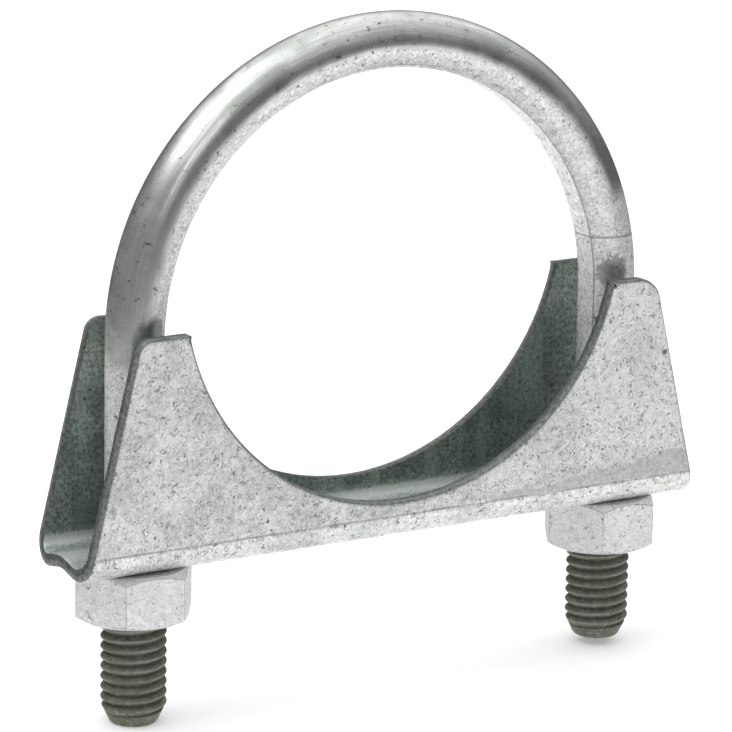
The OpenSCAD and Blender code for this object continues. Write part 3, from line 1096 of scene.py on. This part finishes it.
# %% Rod finish
def rod_finish():
    """Zinc plate on drawn rod: a smooth mirror outside, rough where it was pressed."""
    zinc = plated("zinc_plate_on_drawn_rod", 0.85)
    tree, shader = zinc.tree, zinc.shader
    axes = add(tree, "SeparateXYZ", {0: zinc.place}).node.outputs
    along = add(tree, "Attribute", output="Fac", attribute_name="along")
    out = add(tree, "Attribute", output="Fac", attribute_name="out")
    pressed = add(tree, "Attribute", output="Fac", attribute_name="pressed")
    pressed = add(tree, "Math", {0: zinc.patch, 1: 0.9, 2: pressed}, operation="MULTIPLY_ADD")
    pressed = add(tree, "MapRange", {"Value": pressed, "From Min": 0.6, "From Max": 1.3}, **soft)
    thread = add(tree, "Attribute", output="Fac", attribute_name="thread")
    crest = add(tree, "Attribute", output="Fac", attribute_name="crest")
    edge = add(tree, "Attribute", output="Fac", attribute_name="edge")
    colour, lines = rod_sides(zinc, axes, along, out, pressed)
    colour = add(tree, "Mix", {0: edge, 6: colour, 7: linear("#858984")}, 2, **paint)
    colour = tool_marks(zinc, axes, along, out, pressed, colour)
    colour = add(tree, "Mix", {0: thread, 6: colour, 7: oily_thread(zinc, crest)}, 2, **paint)
    tree.links.new(colour, shader.inputs["Base Color"])
    metal = add(tree, "MapRange", {"Value": pressed, "To Min": 0.9, "To Max": 0.6})
    metal = add(tree, "MapRange", {"Value": thread, "To Min": metal, "To Max": 0.3})
    tree.links.new(metal, shader.inputs["Metallic"])
    rough = add(tree, "MapRange", {"Value": pressed, "To Min": 0.33, "To Max": 0.48})
    rough = add(tree, "Math", {0: lines, 1: -0.06, 2: rough}, operation="MULTIPLY_ADD")
    rough = add(tree, "MapRange", {"Value": thread, "To Min": rough, "To Max": 0.62})
    tree.links.new(rough, shader.inputs["Roughness"])
    relief = add(tree, "Mix", {0: pressed, 2: lines, 3: zinc.grain})
    bump = add(tree, "Bump", {"Strength": 0.3, "Distance": 0.014 * MM, "Height": relief})
    tree.links.new(bump, shader.inputs["Normal"])
    return zinc.material


rod_zinc = rod_finish()
print("nodes in the rod's finish:", len(rod_zinc.node_tree.nodes))

# %% [markdown]
# ## Nut finish
# Nuts are plated in a tumbling barrel, so their zinc is the whitest and the most even. The
# tumbling wears gray lines along the edges, and the thread keeps its oil. Barrel zinc is
# chalky, so it is the least metallic of the three.

# %% Nut finish
def nut_finish():
    """Zinc plate on turned bar: white, even and chalky, gray along the worn edges."""
    zinc = plated("zinc_plate_on_turned_bar", 0.45)
    tree, shader, clouds, grain = zinc.tree, zinc.shader, zinc.clouds, zinc.grain
    thread = add(tree, "Attribute", output="Fac", attribute_name="thread")
    edge = add(tree, "Attribute", output="Fac", attribute_name="edge")
    colour = add(tree, "Mix", {0: clouds, 6: linear("#F0F1F1"), 7: linear("#FFFFFF")}, 2, **paint)
    colour = add(tree, "Mix", {0: grain, 6: linear("#E0E2E2"), 7: colour}, 2, **paint)
    colour = add(tree, "Mix", {0: zinc.strokes, 6: colour, 7: linear("#C2C4C4")}, 2, **paint)
    colour = add(tree, "Mix", {0: zinc.pits, 6: colour, 7: linear("#8F9292")}, 2, **paint)
    handled = add(tree, "MapRange", {"Value": clouds, "To Min": 0.5})
    edge = add(tree, "Math", {0: edge, 1: handled}, operation="MULTIPLY")
    wear_and_crest_highlight = add(tree, "MapRange", {"Value": grain, "To Min": 1.0, "To Max": 0.45})
    edge = add(tree, "Math", {0: edge, 1: wear_and_crest_highlight}, operation="MULTIPLY")
    colour = add(tree, "Mix", {0: edge, 6: colour, 7: linear("#7F8281")}, 2, **paint)
    colour = add(tree, "Mix", {0: thread, 6: colour, 7: linear("#6B6D64")}, 2, **paint)
    tree.links.new(colour, shader.inputs["Base Color"])
    rough = add(tree, "MapRange", {"Value": grain, "To Min": 0.45, "To Max": 0.32})
    tree.links.new(rough, shader.inputs["Roughness"])
    relief = add(tree, "Math", {0: zinc.strokes, 1: -0.7, 2: grain}, operation="MULTIPLY_ADD")
    bump = add(tree, "Bump", {"Strength": 0.25, "Distance": 0.03 * MM, "Height": relief})
    tree.links.new(bump, shader.inputs["Normal"])
    return zinc.material


nut_zinc = nut_finish()
print("nodes in the nuts' finish:", len(nut_zinc.node_tree.nodes))

# %% [markdown]
# ## Put the clamp together
# Each piece now becomes an object. It rides on the body that moves it and stands for the
# plain CAD piece, so the saddle slides and the nuts turn as the frame says. A closed piece
# has no open edge, and its volume is close to that of the solid it stands for.

# %% Make the pieces
finish_piece(bolt_bm, "bent_rod", rod_zinc, "u_bolt", "u_bolt")
finish_piece(saddle_bm, "pressed_saddle", sheet_zinc, "saddle", "saddle")
for side, nut_bm in nut_bms.items():
    finish_piece(nut_bm, "hexagon_nut_" + side, nut_zinc, "nut_" + side, "nut_" + side)
print("pieces made:", 2 + len(nut_bms))
